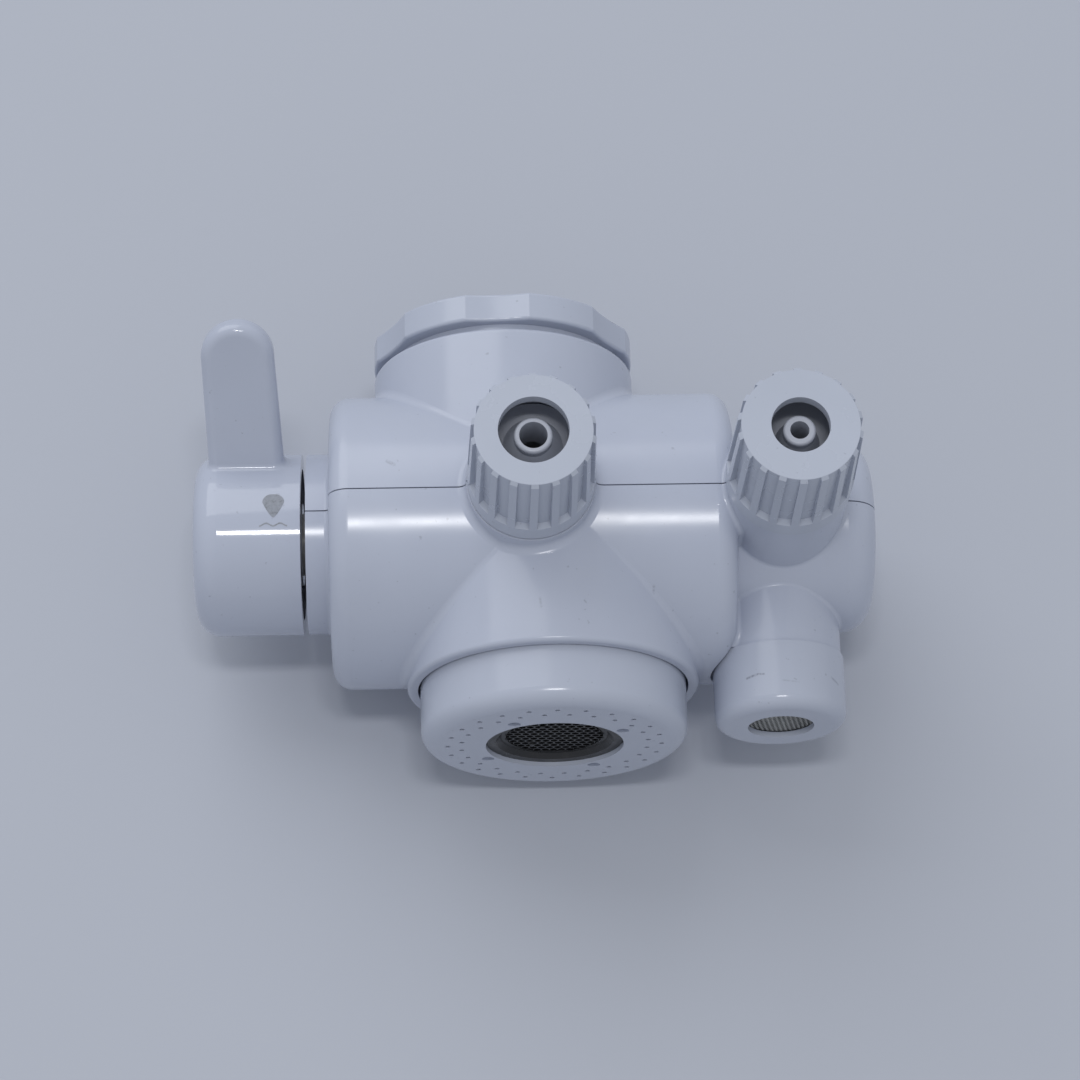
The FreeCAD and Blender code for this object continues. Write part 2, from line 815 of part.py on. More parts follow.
def make_spray_cap():
    """The cap with two rings of fine holes, four dimples and the mouth of the aerator."""
    thread = d.spray_spigot_radius + d.thread_gap
    floor = d.cap_face - d.cap_wall
    points = [
        (d.cap_mouth, -d.cap_face),
        (d.cap_radius, -d.cap_face),
        (d.cap_radius, -d.cap_top),
        (thread, -d.cap_top),
        (thread, -floor),
        (d.cap_mouth, -floor),
    ]
    body = turned("spray_cap", points)
    round_edges(body, d.cap_edge, full_circle(d.cap_radius, "z", -d.cap_face))
    half_step = math.pi / value_of(d.ring_count)
    rings = [
        (d.outer_ring, 0),
        (d.inner_ring * math.cos(half_step), d.inner_ring * math.sin(half_step)),
    ]
    cuts = []
    for across, back in rings:
        hole = circles(body, "XY_Plane", [(across, back, d.spray_hole)])
        cuts.append(pocket(body, hole, d.cap_face + 1))
    repeat_round(body, cuts, int(value_of(d.ring_count)))
    turn = math.radians(value_of(d.dimple_turn))
    spot = (d.dimple_ring * math.cos(turn), d.dimple_ring * math.sin(turn), d.dimple_radius)
    dimple = circles(body, "XY_Plane", [spot])
    dimple.setExpression("AttachmentOffset.Base.z", (d.dimple_depth - d.cap_face).text)
    dimples = pocket(body, dimple, d.cap_wall)
    repeat_round(body, [dimples], 4)
    return place(body, across=d.spray_offset)


def make_spray_gasket():
    """The flat seal between the chamber's spray spigot and the shower face."""
    low = -(d.cap_face - d.cap_wall)
    outer = d.spray_spigot_radius
    inner = d.spray_spigot_radius - d.spray_spigot_wall
    points = tube_points(inner, outer, low, -d.spray_spigot_end)
    return place(turned("spray_gasket", points), across=d.spray_offset)


def make_aerator_housing():
    """The black ring screwed into the middle of the shower face."""
    low = -(d.cap_face - d.aerator_recess)
    high = low + d.aerator_height
    shelf = -(d.cap_face - d.grille_recess) + d.grille_thick
    outer = d.cap_mouth - d.seat_gap
    step = d.seat_gap * 8
    points = [
        (d.aerator_bore + step, low),
        (outer, low),
        (outer, high),
        (d.aerator_bore - step, high),
        (d.aerator_bore - step, shelf),
        (d.aerator_bore, shelf),
        (d.aerator_bore, -(d.cap_face - d.grille_recess)),
    ]
    return place(turned("aerator_housing", points), across=d.spray_offset)


def hexagon(body, across, back, radius):
    """A six-sided hole's outline about one centre."""
    corners = []
    for step in range(6):
        angle = math.radians(60 * step + 30)
        corners.append((across + math.cos(angle) * radius, back + math.sin(angle) * radius))
    return corners


def make_aerator_grille():
    """The honeycomb disc: a sheet of six-sided cells."""
    radius = value_of(d.aerator_bore) - value_of(d.seat_gap) / 2
    low = -(value_of(d.cap_face) - value_of(d.grille_recess))
    thick = value_of(d.grille_thick)
    pitch = value_of(d.cell_pitch)
    cell = (pitch - value_of(d.cell_wall)) / math.sqrt(3)
    disc = Part.makeCylinder(radius, thick, FreeCAD.Vector(0, 0, low))
    rows = int(radius / (pitch * math.sqrt(3) / 2)) + 1
    cells = []
    for row in range(-rows, rows + 1):
        back = row * pitch * math.sqrt(3) / 2
        shift = pitch / 2 if row % 2 else 0.0
        for column in range(-rows - 1, rows + 2):
            across = column * pitch + shift
            if math.hypot(across, back) > radius - pitch * 0.62:
                continue
            corners = []
            for step in range(7):
                angle = math.radians(60 * step + 30)
                corners.append(FreeCAD.Vector(across + cell * math.cos(angle), back + cell * math.sin(angle), low))
            face = Part.Face(Part.makePolygon(corners))
            cells.append(face.extrude(FreeCAD.Vector(0, 0, thick)))
    grille = doc.addObject("Part::Feature", "aerator_grille")
    grille.Label = "aerator_grille"
    grille.Shape = disc.cut(Part.makeCompound(cells))
    return place(grille, across=d.spray_offset)


# Hose connectors

def make_hose_nut(name, front, bore, across):
    """A fluted nut, drawn with its axis up and its face on top, then laid to the front."""
    thread = d.hose_spigot_radius + d.thread_gap
    points = [
        (thread, d.nut_back),
        (d.nut_base_radius, d.nut_back),
        (d.nut_base_radius, d.flute_end),
        (d.nut_top_radius, front - d.nut_chamfer),
        (d.nut_face_radius, front),
        (bore, front),
        (bore, front - d.nut_lip),
        (thread, front - d.nut_lip - d.nut_chamfer * 3),
    ]
    body = turned(name, points)
    beyond = d.nut_base_radius + 1
    flute = [
        (d.flute_floor, front + 1),
        (d.flute_floor, d.flute_end + d.flute_run_out),
        (beyond, d.flute_end - d.flute_run_out / 2),
        (beyond, front + 1),
    ]
    cut = groove(body, polygon(body, "XZ_Plane", flute), "V_Axis", d.flute_width, Midplane=True)
    repeat_round(body, [cut], int(value_of(d.flute_count)))
    return place(body, across=across, turn=TO_FRONT)


def make_hose_nipple(name, front, tip, base, hole, across):
    """The hollow cone that the hose is pushed onto, on a flange at the spigot's end."""
    end = front - d.nipple_drop
    seat = d.hose_spigot_front
    top = seat + d.nipple_flange
    points = [
        (hole, seat),
        (d.hose_spigot_radius, seat),
        (d.hose_spigot_radius, top),
        (base, top),
        (base, top + d.nipple_flange),
        (tip, end - d.nipple_flange),
        (tip, end),
        (hole, end),
    ]
    body = turned(name, points)
    round_edges(body, d.nut_chamfer, full_circle(tip, "z", end))
    return place(body, across=across, turn=TO_FRONT)


# Filtered water return

def make_return_elbow():
    """The inner channel from the right connector to the small spout, one moulding."""
    body = new_body("return_elbow")
    outline = [
        (d.return_left, 0),
        (d.return_left, d.return_radius),
        (d.return_right, d.return_radius),
        (d.return_right, 0),
    ]
    revolve(body, polygon(body, "XZ_Plane", outline), "H_Axis")
    hose = circles(body, "XZ_Plane", [(d.boss_2_place, 0, d.hose_spigot_radius)])
    pad(body, hose, d.hose_spigot_front)
    spout = circles(body, "XY_Plane", [(d.spout_place, 0, d.return_spigot_radius)])
    pad(body, spout, d.return_spigot_end, Reversed=True)
    channel = circles(body, "XZ_Plane", [(d.boss_2_place, 0, d.hose_channel)])
    pocket(body, channel, d.hose_spigot_front + 1, Reversed=True)
    drop = circles(body, "XY_Plane", [(d.spout_place, 0, d.hose_channel)])
    pocket(body, drop, d.return_spigot_end + 1)
    return place(body)


def make_spout_cap():
    thread = d.return_spigot_radius + d.thread_gap
    top = d.spout_neck_end + d.spout_cap_gap
    floor = d.spout_face - d.spout_mesh_depth
    points = [
        (d.spout_mouth, -d.spout_face),
        (d.spout_cap_radius, -d.spout_face),
        (d.spout_cap_radius, -top),
        (thread, -top),
        (thread, -floor),
        (d.spout_mouth, -floor),
    ]
    body = turned("spout_cap", points)
    round_edges(body, d.spout_edge, full_circle(d.spout_cap_radius, "z", -d.spout_face))
    return place(body, across=d.spout_place)


def make_spout_mesh():
    low = -(d.spout_face - d.spout_mesh_depth)
    outer = d.return_spigot_radius
    points = tube_points(0, outer, low, low + d.seat_gap * 6)
    return place(turned("spout_mesh", points), across=d.spout_place)


def make_spout_gasket():
    low = -(d.spout_face - d.spout_mesh_depth) + d.seat_gap * 6
    outer = d.return_spigot_radius
    points = tube_points(d.spout_mouth, outer, low, -d.return_spigot_end)
    return place(turned("spout_gasket", points), across=d.spout_place)


# Lever

def add_tongue(body):
    """The flat tongue with its round tip and pillowed rim."""
    root = d.lever_radius * 0.75
    centre = -d.tongue_place
    tip_centre = centre - d.tongue_lean
    shoulder = d.tongue_reach - d.tongue_tip / 2
    points = [
        (centre - d.tongue_root / 2, root),
        (tip_centre - d.tongue_tip / 2, shoulder),
        (tip_centre + d.tongue_tip / 2, shoulder),
        (centre + d.tongue_root / 2, root),
    ]
    sketch = outline(body, "XZ_Plane", points, {1: (tip_centre, shoulder, -1)})
    pad(body, sketch, d.tongue_thick, SideType="Symmetric")
    foot = value_of(root)
    round_edges(body, d.tongue_edge, lambda edge: edge.BoundBox.YLength < 0.01 and edge.BoundBox.ZMax > foot + 1)


def tongue_root(hub, half_thick):
    """A test for the edges where the tongue leaves the hub's skin."""
    skin = value_of(hub) + 0.2
    reach = value_of(half_thick) + 0.2

    def test(edge):
        start, end = edge.ParameterRange
        spots = [edge.valueAt(start + (end - start) * share) for share in (0.1, 0.35, 0.6, 0.85)]
        upright = all(spot.z > skin / 2 and abs(spot.y) < reach for spot in spots)
        low = all(math.hypot(spot.y, spot.z) < skin for spot in spots)
        return upright and low and edge.Length > 0.3
    return test


def make_lever_handle():
    """The round hub and its tongue, one moulding, drawn upright and then turned to the front."""
    body = new_body("lever_handle")
    add_tongue(body)
    left = -d.lever_left
    right = -d.lever_right
    socket_end = -d.stem_left
    recess = left + d.plug_thick + d.screw_head_thick + d.seat_gap * 4
    room = d.lever_radius - d.lever_wall
    shoulder = d.lever_radius - d.lever_edge
    points = [
        (recess, 0),
        (recess, d.plug_radius + d.seat_gap),
        (left, d.plug_radius + d.seat_gap),
        (left, shoulder),
        (left + d.lever_edge, d.lever_radius),
        (right, d.lever_radius),
        (right, 0),
    ]
    sketch = outline(body, "XZ_Plane", points, {3: (left + d.lever_edge, shoulder, -1)})
    revolve(body, sketch, "H_Axis")
    round_edges(body, d.tongue_blend, tongue_root(d.lever_radius, d.tongue_thick / 2))
    ring = [
        (socket_end + d.lever_wall, d.lever_core),
        (right + 1, d.lever_core),
        (right + 1, room),
        (socket_end + d.lever_wall, room),
    ]
    groove(body, polygon(body, "XZ_Plane", ring), "H_Axis")
    square = d.stem_square / 2 + d.seat_gap / 2
    corners = [(-square, -square), (square, -square), (square, square), (-square, square)]
    socket = polygon(body, "YZ_Plane", corners)
    upright = FreeCAD.Rotation(FreeCAD.Vector(0, 0, 1), -value_of(d.lever_angle))
    socket.AttachmentOffset = FreeCAD.Placement(FreeCAD.Vector(), upright)
    socket.setExpression("AttachmentOffset.Base.z", socket_end.text)
    pocket(body, socket, d.square_length, Reversed=True)
    stem_room = circles(body, "YZ_Plane", [(0, 0, d.stem_radius + d.seat_gap)])
    stem_room.setExpression("AttachmentOffset.Base.z", (socket_end + d.square_length).text)
    pocket(body, stem_room, d.lever_left, Reversed=True)
    shank_room = circles(body, "YZ_Plane", [(0, 0, d.screw_shank + d.seat_gap)])
    shank_room.setExpression("AttachmentOffset.Base.z", left.text)
    pocket(body, shank_room, d.lever_left - d.stem_left + 1, Reversed=True)
    return place(body, turn=(X_AXIS, d.lever_angle))


def make_lever_screw():
    """The screw that holds the lever on the stem."""
    body = new_body("lever_screw")
    head = -d.lever_left + d.plug_thick + d.seat_gap * 4
    seat = head + d.screw_head_thick
    outline = [
        (head, 0),
        (head, d.screw_head),
        (seat, d.screw_head),
        (seat, d.screw_shank),
        (seat + d.screw_length, d.screw_shank),
        (seat + d.screw_length, 0),
    ]
    revolve(body, polygon(body, "XZ_Plane", outline), "H_Axis")
    return place(body)


def make_lever_plug():
    low = -d.lever_left
    return place(ring_along_x("lever_plug", 0, d.plug_radius, low, low + d.plug_thick))


def make_all():
    make_upper_shell()
    make_lower_shell()
    make_valve_body()
    make_rotor()
    make_rotor_seals()
    make_rotor_retainer()
    make_tap_adapter()
    make_inlet_gasket()
    make_inlet_strainer()
    make_lock_nut()
    make_spray_cap()
    make_spray_gasket()
    make_aerator_housing()
    make_aerator_grille()
    make_hose_nut("hose_nut_1", d.nut_1_front, d.nut_1_bore, d.boss_1_place)
    make_hose_nut("hose_nut_2", d.nut_2_front, d.nut_2_bore, d.boss_2_place)
    first = (d.nipple_1_tip, d.nipple_1_base, d.nipple_1_hole)
    second = (d.nipple_2_tip, d.nipple_2_base, d.nipple_2_hole)
    make_hose_nipple("hose_nipple_1", d.nut_1_front, *first, d.boss_1_place)
    make_hose_nipple("hose_nipple_2", d.nut_2_front, *second, d.boss_2_place)
    make_return_elbow()
    make_spout_cap()
    make_spout_mesh()
    make_spout_gasket()
    make_lever_handle()
    make_lever_screw()
    make_lever_plug()


def sub_parts():
    """The finished pieces: every body, and every shape set by itself."""
    return [item for item in doc.Objects if item.TypeId in ("PartDesign::Body", "Part::Feature")]


def check_all():
    for item in doc.Objects:
        if "Invalid" in item.State or "Error" in item.State:
            raise ValueError("%s failed: %s" % (item.Label, item.State))
    for item in sub_parts():
        shape = item.Shape
        if shape.isNull() or not shape.isValid() or len(shape.Solids) != 1:
            raise ValueError("%s has no single sound solid" % item.Label)


make_all()
doc.recompute()
check_all()
os.makedirs("parts", exist_ok=True)
for item in sub_parts():
    item.Shape.exportStep("parts/%s.step" % item.Label)
    print("%-20s %9.1f mm3" % (item.Label, item.Shape.Volume))
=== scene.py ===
import json
import math

import bmesh
import bpy
from mathutils import Matrix, Vector


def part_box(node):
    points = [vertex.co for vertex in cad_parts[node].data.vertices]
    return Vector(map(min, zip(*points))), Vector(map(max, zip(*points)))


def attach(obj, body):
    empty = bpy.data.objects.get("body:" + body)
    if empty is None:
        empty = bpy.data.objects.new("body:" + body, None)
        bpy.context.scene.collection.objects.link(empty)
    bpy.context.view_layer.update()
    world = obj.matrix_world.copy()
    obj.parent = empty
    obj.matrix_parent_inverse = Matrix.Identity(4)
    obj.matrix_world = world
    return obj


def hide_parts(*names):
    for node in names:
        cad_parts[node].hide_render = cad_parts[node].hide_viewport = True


MM = 0.001

# The camera's place and target in millimetres, its roll, its lens and sensor in millimetres, and the
# nearest thing that it sees in metres
CAMERA_PLACE = Vector((-11.24, -521.18, -239.46))
CAMERA_TARGET = Vector((5.41, 0.0, -33.46))
CAMERA_ROLL = math.radians(1.512)
CAMERA_LENS = 115.61
CAMERA_SENSOR = 36.0
CAMERA_NEAREST = 0.01

# Axes and radii that the added pieces sit on, in millimetres
DRUM_HEIGHT = -33.7
DRUM_RADIUS = 23.5
SPRAY_ACROSS = 6.89
SPOUT_ACROSS = 42.85
HUB_RADIUS = 14.6

# Colours as linear red, green and blue
HOUSING_COLOUR = (0.455, 0.490, 0.590)
FITTING_COLOUR = (0.455, 0.490, 0.585)
LEVER_COLOUR = (0.450, 0.485, 0.585)
NUT_COLOUR = (0.440, 0.475, 0.560)
NIPPLE_COLOUR = (0.400, 0.420, 0.480)
INNER_COLOUR = (0.420, 0.430, 0.450)
BLACK_COLOUR = (0.014, 0.014, 0.015)
LIME_COLOUR = (0.055, 0.054, 0.050)
RUBBER_COLOUR = (0.020, 0.020, 0.021)
DUSTY_RUBBER_COLOUR = (0.07, 0.07, 0.072)
STEEL_COLOUR = (0.420, 0.420, 0.400)
PLATED_COLOUR = (0.600, 0.600, 0.610)
PRINT_COLOUR = (0.210, 0.225, 0.255)
TABLE_COLOUR = (0.450, 0.475, 0.540)
SCUFF_COLOUR = (0.200, 0.210, 0.260)
ROOM_COLOUR = (0.93, 0.96, 1.0)
WINDOW_COLOUR = (0.95, 0.97, 1.0)
LAMP_COLOUR = (1.0, 1.0, 1.0)

# Noises: cells in a metre, octaves and roughness
CLOUDS = (38.0, 4.0, 0.55)
SPECKS = (900.0, 2.0, 0.6)
BREAKS = (2600.0, 2.0, 0.5)
SMEARS = (70.0, 5.0, 0.6)
RIPPLES = (420.0, 2.0, 0.5)
LIME = (320.0, 5.0, 0.65)
WORN_GLOSS = (500.0, 3.0, 0.5)
PLASTIC_GRAIN = (2500.0, 3.0, 0.5)
HANDLING = (240.0, 5.0, 0.6)
RUBBER_GRAIN = (3200.0, 2.0, 0.5)
STAINS = (300.0, 4.0, 0.5)
DRAWING_LINES = (1500.0, 3.0, 0.6)
THIN_INK = (1800.0, 4.0, 0.6)
TABLE_CLOUDS = (3.0, 3.0, 0.5)

# The span that most of a noise falls in
MIDDLE = (0.3, 0.7)

# Sockets of the colour mixer
MIX_FIRST = 6
MIX_SECOND = 7
MIX_RESULT = 2

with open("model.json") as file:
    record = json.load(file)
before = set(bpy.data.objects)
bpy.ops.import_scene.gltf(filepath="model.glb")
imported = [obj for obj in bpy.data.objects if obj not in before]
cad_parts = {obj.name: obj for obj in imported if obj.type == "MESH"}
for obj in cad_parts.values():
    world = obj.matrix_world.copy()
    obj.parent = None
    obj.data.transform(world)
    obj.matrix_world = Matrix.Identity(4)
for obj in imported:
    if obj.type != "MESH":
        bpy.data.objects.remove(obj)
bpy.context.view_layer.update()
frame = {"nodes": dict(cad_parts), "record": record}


# Node helpers

def new_material(name):
    """A material with its node tree, its shader and the object's own coordinates."""
    material = bpy.data.materials.new(name)
    material.use_nodes = True
    nodes = material.node_tree.nodes
    shader = nodes["Principled BSDF"]
    place = nodes.new("ShaderNodeTexCoord")
    return material, shader, place.outputs["Object"]


def node(material, kind, settings=None, inputs=None):
    """A node with its settings, and its inputs as numbers or as sockets to link."""
    made = material.node_tree.nodes.new(kind)
    for name, value in (settings or {}).items():
        setattr(made, name, value)
    for name, value in (inputs or {}).items():
        socket = made.inputs[name]
        if isinstance(value, bpy.types.NodeSocket):
            material.node_tree.links.new(value, socket)
        else:
            socket.default_value = value
    return made


def link(material, source, target):
    material.node_tree.links.new(source, target)


def noise(material, place, grain):
    """A noise from 0 to 1, with its grain from the list above."""
    scale, detail, roughness = grain
    inputs = {"Vector": place, "Scale": scale, "Detail": detail, "Roughness": roughness}
    return node(material, "ShaderNodeTexNoise", inputs=inputs).outputs["Fac"]


def ranged(material, value, span, onto=(0.0, 1.0)):
    """A value within a span, spread onto another span."""
    inputs = dict(enumerate((value, *span, *onto)))
    return node(material, "ShaderNodeMapRange", inputs=inputs).outputs[0]


def sums(material, kind, first, second):
    return node(material, "ShaderNodeMath", {"operation": kind}, {0: first, 1: second}).outputs[0]


def vectors(material, kind, first, second):
    return node(material, "ShaderNodeVectorMath", {"operation": kind}, {0: first, 1: second}).outputs


def shades(material, share, first, second):
    """A colour between two others, of which the first may be a socket."""
    start = (*first, 1.0) if isinstance(first, tuple) else first
    inputs = {"Factor": share, MIX_FIRST: start, MIX_SECOND: (*second, 1.0)}
    return node(material, "ShaderNodeMix", {"data_type": "RGBA"}, inputs).outputs[MIX_RESULT]


def tint(colour, factor):
    return tuple(channel * factor for channel in colour)


def bumped(material, shader, height, strength, distance):
    """Raises and sinks the surface by a noise, over a distance in metres."""
    inputs = {"Height": height, "Strength": strength, "Distance": distance}
    link(material, node(material, "ShaderNodeBump", inputs=inputs).outputs[0], shader.inputs["Normal"])


def stroke(material, place, start, end, width):
    """1 on a short straight mark between two points in millimetres, fading to 0 at its edge."""
    core = 0.3
    start = Vector(start) * MM
    span = Vector(end) * MM - start
    reach = width * MM
    away = vectors(material, "SUBTRACT", place, start)["Vector"]
    along = vectors(material, "DOT_PRODUCT", away, span)["Value"]
    share = ranged(material, along, (0.0, span.length_squared))
    scaled = {0: span, "Scale": share}
    foot = node(material, "ShaderNodeVectorMath", {"operation": "SCALE"}, scaled).outputs["Vector"]
    gap = vectors(material, "DISTANCE", away, foot)["Value"]
    return ranged(material, gap, (reach * core, reach), onto=(1.0, 0.0))


# Materials

def moulded_plastic(name, colour, gloss, marks=(), waviness=0.05, mottle=0.03):
    """Moulded white plastic: faint mottling, uneven gloss, slight waviness, dust and scuffs."""
    material, shader, place = new_material(name)
    cloud = ranged(material, noise(material, place, CLOUDS), MIDDLE)
    base = shades(material, cloud, tint(colour, 1 - mottle), tint(colour, 1 + mottle))
    specks = ranged(material, noise(material, place, SPECKS), span=(0.71, 0.76), onto=(0.0, 0.35))
    base = shades(material, specks, base, SCUFF_COLOUR)
    for start, end, width, depth in marks:
        mask = stroke(material, place, start, end, width)
        broken = ranged(material, noise(material, place, BREAKS), span=(0.35, 0.6), onto=(0.25, 1.0))
        share = sums(material, "MULTIPLY", sums(material, "MULTIPLY", mask, broken), depth)
        base = shades(material, share, base, SCUFF_COLOUR)
    link(material, base, shader.inputs["Base Color"])
    smear = noise(material, place, SMEARS)
    uneven = ranged(material, smear, MIDDLE, onto=(gloss * 0.8, gloss * 1.3))
    link(material, uneven, shader.inputs["Roughness"])
    bumped(material, shader, noise(material, place, RIPPLES), strength=waviness, distance=0.00006)
    shader.inputs["IOR"].default_value = 1.5
    return material


def dark_plastic(name, colour, gloss):
    """Black moulded plastic with a dusting of lime."""
    material, shader, place = new_material(name)
    limed = ranged(material, noise(material, place, LIME), span=(0.52, 0.75), onto=(0.0, 0.5))
    link(material, shades(material, limed, colour, LIME_COLOUR), shader.inputs["Base Color"])
    uneven = ranged(material, noise(material, place, WORN_GLOSS), MIDDLE, onto=(gloss, gloss * 1.6))
    link(material, uneven, shader.inputs["Roughness"])
    bumped(material, shader, noise(material, place, PLASTIC_GRAIN), strength=0.12, distance=0.00005)
    return material


def soft_rubber(name, colour):
    """Matt black rubber with a fine grain and pale handling dust."""
    material, shader, place = new_material(name)
    most = 0.6
    dusty = ranged(material, noise(material, place, HANDLING), span=(0.45, 0.75), onto=(0.0, most))
    link(material, shades(material, dusty, colour, DUSTY_RUBBER_COLOUR), shader.inputs["Base Color"])
    link(material, ranged(material, dusty, (0.0, most), onto=(0.55, 0.8)), shader.inputs["Roughness"])
    bumped(material, shader, noise(material, place, RUBBER_GRAIN), strength=0.2, distance=0.00005)
    return material


def drawn_steel(name, colour, roughness, stretch=(1.0, 1.0, 1.0)):
    """Bare steel with drawing lines and a little staining."""
    material, shader, place = new_material(name)
    shader.inputs["Metallic"].default_value = 1.0
    stain = ranged(material, noise(material, place, STAINS), span=(0.4, 0.75), onto=(0.0, 0.7))
    link(material, shades(material, stain, colour, tint(colour, 0.55)), shader.inputs["Base Color"])
    drawn = node(material, "ShaderNodeMapping", inputs={"Vector": place, "Scale": stretch}).outputs[0]
    lines = noise(material, drawn, DRAWING_LINES)
    uneven = ranged(material, lines, MIDDLE, onto=(roughness * 0.7, roughness * 1.4))
    link(material, uneven, shader.inputs["Roughness"])
    bumped(material, shader, lines, strength=0.1, distance=0.00004)
    return material


def printed_ink(name, colour):
    """Pad-printed grey ink, slightly thin in places."""
    material, shader, place = new_material(name)
    most = 0.35
    thin = ranged(material, noise(material, place, THIN_INK), span=(0.35, 0.7), onto=(0.0, most))
    link(material, shades(material, thin, colour, LEVER_COLOUR), shader.inputs["Base Color"])
    link(material, ranged(material, thin, (0.0, most), onto=(0.25, 0.4)), shader.inputs["Roughness"])
    return material


# Scuffs: start and end in millimetres, width in millimetres, and depth of colour
HOUSING_MARKS = (
    ((-18.8, -23.1, -29.0), (-17.8, -23.1, -29.6), 0.45, 0.45),
    ((22.35, -18.18, -48.6), (22.2, -16.73, -50.2), 0.30, 0.45),
    ((4.44, -23.07, -52.1), (4.60, -23.08, -53.5), 0.28, 0.30),
    ((26.2, -12.9, -53.0), (28.3, -8.9, -54.3), 0.26, 0.30),
)
SPOUT_MARKS = (
    ((37.0, -8.67, -60.75), (38.6, -9.6, -60.35), 0.26, 0.80),
    ((38.6, -9.6, -60.35), (39.6, -9.93, -60.45), 0.22, 0.60),
    ((50.5, -7.1, -60.3), (51.6, -5.7, -60.9), 0.30, 0.55),
    ((42.4, -10.45, -61.7), (45.0, -10.25, -62.0), 0.20, 0.25),
)

FINISHES = {
    "housing_white": moulded_plastic("housing_white", HOUSING_COLOUR, 0.20, HOUSING_MARKS),
    "lever_white": moulded_plastic("lever_white", LEVER_COLOUR, 0.075, waviness=0.02),
    "fitting_white": moulded_plastic("fitting_white", FITTING_COLOUR, 0.18, SPOUT_MARKS),
    "nut_white": moulded_plastic("nut_white", NUT_COLOUR, 0.24),
    "nipple_plastic": moulded_plastic("nipple_plastic", NIPPLE_COLOUR, 0.32, waviness=0.08),
    "inner_plastic": moulded_plastic("inner_plastic", INNER_COLOUR, 0.38, waviness=0.08),
    "aerator_black": dark_plastic("aerator_black", BLACK_COLOUR, 0.24),
    "steel_mesh": drawn_steel("steel_mesh", STEEL_COLOUR, 0.32),
    "adapter_metal": drawn_steel("adapter_metal", PLATED_COLOUR, 0.16, stretch=(1.0, 1.0, 8.0)),
    "screw_steel": drawn_steel("screw_steel", STEEL_COLOUR, 0.28),
    "rubber": soft_rubber("rubber", RUBBER_COLOUR),
}
PRINT = printed_ink("print_grey", PRINT_COLOUR)


def dress_frame():
    """Gives every carried-over node the finish of its slot."""
    for row in frame["record"]["subparts"]:
        item = frame["nodes"][row["node"]]
        item.data.materials.clear()
        item.data.materials.append(FINISHES[row["material_slot"]])


# Meshes, drawn in millimetres

def finished(name, mesh, material, body, replaced=(), smooth=True):
    """The mesh as a piece in metres that rides on a body."""
    bmesh.ops.scale(mesh, vec=(MM, MM, MM), verts=mesh.verts)
    bmesh.ops.recalc_face_normals(mesh, faces=mesh.faces)
    data = bpy.data.meshes.new(name)
    mesh.to_mesh(data)
    mesh.free()
    for face in data.polygons:
        face.use_smooth = smooth
    data.materials.append(material)
    piece = bpy.data.objects.new(name, data)
    bpy.context.scene.collection.objects.link(piece)
    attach(piece, body)
    if replaced:
        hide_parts(*replaced)
    return piece


def node_box(name):
    """A node's lowest and highest corners in millimetres."""
    low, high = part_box(name)
    return low / MM, high / MM


def add_sweep(mesh, rings):
    """Joins closed rings of points into a tube with closed ends."""
    sides = len(rings[0])
    for first, second in zip(rings, rings[1:]):
        for step in range(sides):
            after = (step + 1) % sides
            mesh.faces.new((first[step], first[after], second[after], second[step]))
    mesh.faces.new(rings[0][::-1])
    mesh.faces.new(rings[-1])


def add_wire(mesh, points, radius, sides=5):
    """A round wire along a list of points."""
    rings = []
    for index, point in enumerate(points):
        before = points[max(index - 1, 0)]
        after = points[min(index + 1, len(points) - 1)]
        forward = (after - before).normalized()
        side = forward.cross(Vector((0, 0, 1))).normalized()
        above = side.cross(forward)
        ring = []
        for step in range(sides):
            angle = math.tau * step / sides
            spot = point + side * math.cos(angle) * radius + above * math.sin(angle) * radius
            ring.append(mesh.verts.new(spot))
        rings.append(ring)
    add_sweep(mesh, rings)


def woven_disc(name, node_name, body, across, radius, pitch, wire, turn):
    """Plain-woven wire in a disc: each wire waves over and under the ones that cross it."""
    low, high = node_box(node_name)
    centre = Vector((across, 0, (low.z + high.z) / 2))
    spin = Matrix.Rotation(turn, 3, "Z")
    count = int(radius / pitch)
    step = pitch / 4
    mesh = bmesh.new()
    for family in (0, 1):
        for index in range(-count, count + 1):
            offset = index * pitch
            reach = math.sqrt(max(radius ** 2 - offset ** 2, 0.0))
            samples = int(2 * reach / step)
            if samples < 2:
                continue
            points = []
            for sample in range(samples + 1):
                along = -reach + 2 * reach * sample / samples
                rise = wire * math.cos(math.pi * (along / pitch + index + family))
                spot = Vector((along, offset, rise)) if family == 0 else Vector((offset, along, rise))
                points.append(spin @ spot + centre)
            add_wire(mesh, points, wire)
    return finished(name, mesh, FINISHES["steel_mesh"], body, (node_name,))


def make_wire_discs():
    """The fine wire of the small spout and the coarser wire of the dirt screen under the tap."""
    woven_disc("spout_wire_mesh", "spout_mesh", "spout_tip", across=SPOUT_ACROSS, radius=5.6, pitch=0.52,
               wire=0.11, turn=math.radians(33))
    woven_disc("inlet_wire_mesh", "inlet_strainer", "housing", across=0.0, radius=12.6, pitch=0.85,
               wire=0.14, turn=math.radians(20))


def add_ring(mesh, outline, sides=96):
    """A closed outline of (radius, height) points turned about the upright axis."""
    rings = []
    for step in range(sides):
        angle = math.tau * step / sides
        rings.append([mesh.verts.new((math.cos(angle) * r, math.sin(angle) * r, z)) for r, z in outline])
    for step in range(sides):
        first = rings[step]
        second = rings[(step + 1) % sides]
        for index in range(len(outline)):
            after = (index + 1) % len(outline)
            mesh.faces.new((first[index], second[index], second[after], first[after]))


